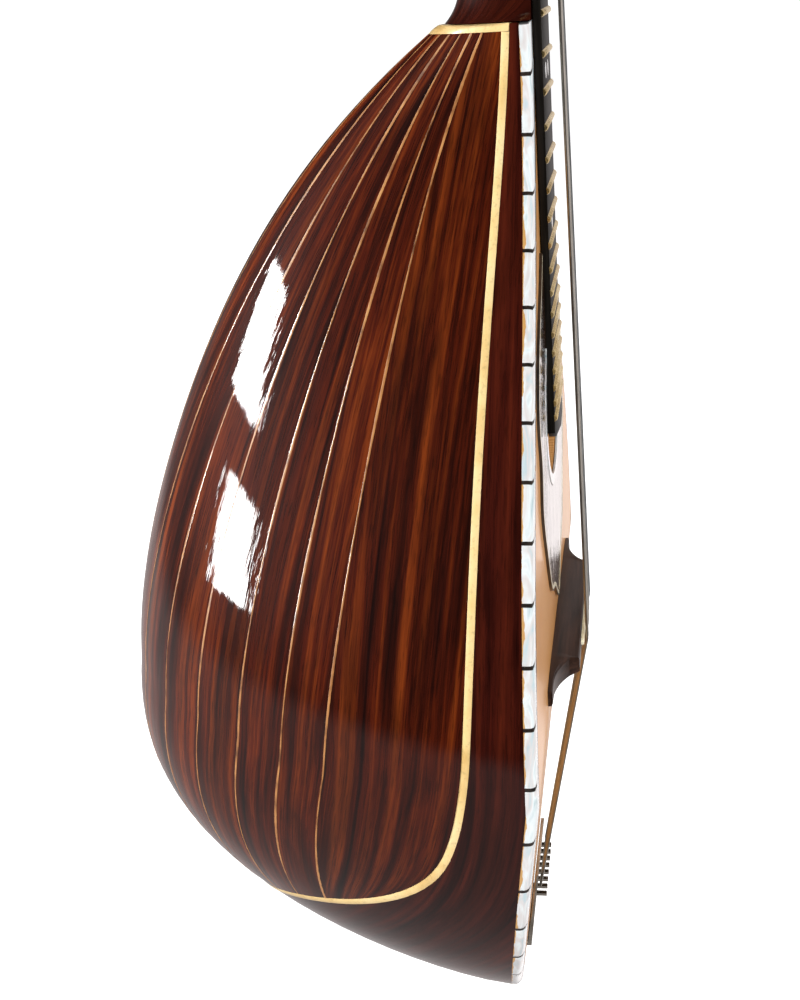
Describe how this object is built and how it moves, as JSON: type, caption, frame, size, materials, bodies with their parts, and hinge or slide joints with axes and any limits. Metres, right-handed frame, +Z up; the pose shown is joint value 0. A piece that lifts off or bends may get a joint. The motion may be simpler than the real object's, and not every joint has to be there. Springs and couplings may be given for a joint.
{
  "type": "bowl-back mandolin",
  "caption": "Bowl-back mandolin with a ribbed rosewood bowl, bent soundboard, pearl edging, paired strings and geared tuning knobs.",
  "frame": {"origin": "back of the neck just below the head, where a wall hanger's yoke holds the instrument", "axes": "+Z up along the neck towards the head, +Y towards the back of the bowl, +X towards the treble side"},
  "size_m": [0.2106, 0.1504, 0.5761],
  "materials": {
    "rosewood": "high gloss varnish",
    "dark_wood": "high gloss varnish",
    "light_line": "gloss",
    "inner_wood": "bare",
    "spruce": "gloss varnish",
    "pearl": "polished mother of pearl",
    "hole_ring": "polished mother of pearl",
    "guard_plate": "gloss tortoiseshell",
    "bridge_wood": "satin",
    "bone": "satin",
    "neck_wood": "high gloss varnish",
    "ebony": "satin",
    "head_veneer": "high gloss varnish",
    "nickel": "polished",
    "brass": "polished",
    "brass_post": "polished",
    "button": "gloss",
    "plain_string": "polished",
    "wound_string": "wound bronze"
  },
  "bodies": {
    "instrument": {"rib_01": "rosewood", "rib_02": "rosewood", "rib_03": "rosewood", "rib_04": "rosewood", "rib_05": "rosewood", "rib_06": "rosewood", "rib_07": "rosewood", "rib_08": "rosewood", "rib_09": "rosewood", "rib_10": "rosewood", "rib_11": "rosewood", "rib_12": "rosewood", "rib_13": "rosewood", "wide_rib_bass": "rosewood", "wide_rib_treble": "rosewood", "rim_band": "dark_wood", "light_line": "light_line", "heel_strip": "light_line", "neck_block": "inner_wood", "tail_block": "inner_wood", "brace_upper": "inner_wood", "brace_lower": "inner_wood", "lining": "inner_wood", "soundboard": "spruce", "pearl_edging": "pearl", "hole_ring": "hole_ring", "pickguard": "guard_plate", "bridge": "bridge_wood", "saddle": "bone", "neck": "neck_wood", "fingerboard": "ebony", "nut": "bone", "head_veneer": "head_veneer", "tailpiece": "nickel", "tuner_plate_bass": "brass", "tuner_plate_treble": "brass", "string_g_1": "wound_string", "string_g_2": "wound_string", "string_d_1": "wound_string", "string_d_2": "wound_string", "string_a_1": "plain_string", "string_a_2": "plain_string", "string_e_1": "plain_string", "string_e_2": "plain_string"},
    "knob_bass_1": {"knob_bass_1": "button"},
    "post_bass_1": {"post_bass_1": "brass_post"},
    "knob_bass_2": {"knob_bass_2": "button"},
    "post_bass_2": {"post_bass_2": "brass_post"},
    "knob_bass_3": {"knob_bass_3": "button"},
    "post_bass_3": {"post_bass_3": "brass_post"},
    "knob_bass_4": {"knob_bass_4": "button"},
    "post_bass_4": {"post_bass_4": "brass_post"},
    "knob_treble_1": {"knob_treble_1": "button"},
    "post_treble_1": {"post_treble_1": "brass_post"},
    "knob_treble_2": {"knob_treble_2": "button"},
    "post_treble_2": {"post_treble_2": "brass_post"},
    "knob_treble_3": {"knob_treble_3": "button"},
    "post_treble_3": {"post_treble_3": "brass_post"},
    "knob_treble_4": {"knob_treble_4": "button"},
    "post_treble_4": {"post_treble_4": "brass_post"}
  },
  "joints": [
    {"name": "knob_bass_1_turn", "type": "hinge", "parent": "instrument", "child": "knob_bass_1", "pos_m": [-0.015, 0.00849, 0.01877], "axis": [1, 0, 0], "continuous": true},
    {"name": "post_bass_1_turn", "type": "hinge", "parent": "instrument", "child": "post_bass_1", "pos_m": [-0.015, -0.00924, 0.02914], "axis": [0, 0.9903, -0.1392], "continuous": true},
    {"name": "knob_bass_2_turn", "type": "hinge", "parent": "instrument", "child": "knob_bass_2", "pos_m": [-0.015, 0.01155, 0.04056], "axis": [1, 0, 0], "continuous": true},
    {"name": "post_bass_2_turn", "type": "hinge", "parent": "instrument", "child": "post_bass_2", "pos_m": [-0.015, -0.00618, 0.05092], "axis": [0, 0.9903, -0.1392], "continuous": true},
    {"name": "knob_bass_3_turn", "type": "hinge", "parent": "instrument", "child": "knob_bass_3", "pos_m": [-0.015, 0.01461, 0.06234], "axis": [1, 0, 0], "continuous": true},
    {"name": "post_bass_3_turn", "type": "hinge", "parent": "instrument", "child": "post_bass_3", "pos_m": [-0.015, -0.00312, 0.07271], "axis": [0, 0.9903, -0.1392], "continuous": true},
    {"name": "knob_bass_4_turn", "type": "hinge", "parent": "instrument", "child": "knob_bass_4", "pos_m": [-0.015, 0.01767, 0.08413], "axis": [1, 0, 0], "continuous": true},
    {"name": "post_bass_4_turn", "type": "hinge", "parent": "instrument", "child": "post_bass_4", "pos_m": [-0.015, -0.00006, 0.09449], "axis": [0, 0.9903, -0.1392], "continuous": true},
    {"name": "knob_treble_1_turn", "type": "hinge", "parent": "instrument", "child": "knob_treble_1", "pos_m": [0.015, 0.00849, 0.01877], "axis": [1, 0, 0], "continuous": true},
    {"name": "post_treble_1_turn", "type": "hinge", "parent": "instrument", "child": "post_treble_1", "pos_m": [0.015, -0.00924, 0.02914], "axis": [0, 0.9903, -0.1392], "continuous": true},
    {"name": "knob_treble_2_turn", "type": "hinge", "parent": "instrument", "child": "knob_treble_2", "pos_m": [0.015, 0.01155, 0.04056], "axis": [1, 0, 0], "continuous": true},
    {"name": "post_treble_2_turn", "type": "hinge", "parent": "instrument", "child": "post_treble_2", "pos_m": [0.015, -0.00618, 0.05092], "axis": [0, 0.9903, -0.1392], "continuous": true},
    {"name": "knob_treble_3_turn", "type": "hinge", "parent": "instrument", "child": "knob_treble_3", "pos_m": [0.015, 0.01461, 0.06234], "axis": [1, 0, 0], "continuous": true},
    {"name": "post_treble_3_turn", "type": "hinge", "parent": "instrument", "child": "post_treble_3", "pos_m": [0.015, -0.00312, 0.07271], "axis": [0, 0.9903, -0.1392], "continuous": true},
    {"name": "knob_treble_4_turn", "type": "hinge", "parent": "instrument", "child": "knob_treble_4", "pos_m": [0.015, 0.01767, 0.08413], "axis": [1, 0, 0], "continuous": true},
    {"name": "post_treble_4_turn", "type": "hinge", "parent": "instrument", "child": "post_treble_4", "pos_m": [0.015, -0.00006, 0.09449], "axis": [0, 0.9903, -0.1392], "continuous": true}
  ],
  "couplings": [
    {"joint": "post_bass_1_turn", "follows": "knob_bass_1_turn", "ratio": 0.071429},
    {"joint": "post_bass_2_turn", "follows": "knob_bass_2_turn", "ratio": 0.071429},
    {"joint": "post_bass_3_turn", "follows": "knob_bass_3_turn", "ratio": 0.071429},
    {"joint": "post_bass_4_turn", "follows": "knob_bass_4_turn", "ratio": 0.071429},
    {"joint": "post_treble_1_turn", "follows": "knob_treble_1_turn", "ratio": 0.071429},
    {"joint": "post_treble_2_turn", "follows": "knob_treble_2_turn", "ratio": 0.071429},
    {"joint": "post_treble_3_turn", "follows": "knob_treble_3_turn", "ratio": 0.071429},
    {"joint": "post_treble_4_turn", "follows": "knob_treble_4_turn", "ratio": 0.071429}
  ]
}
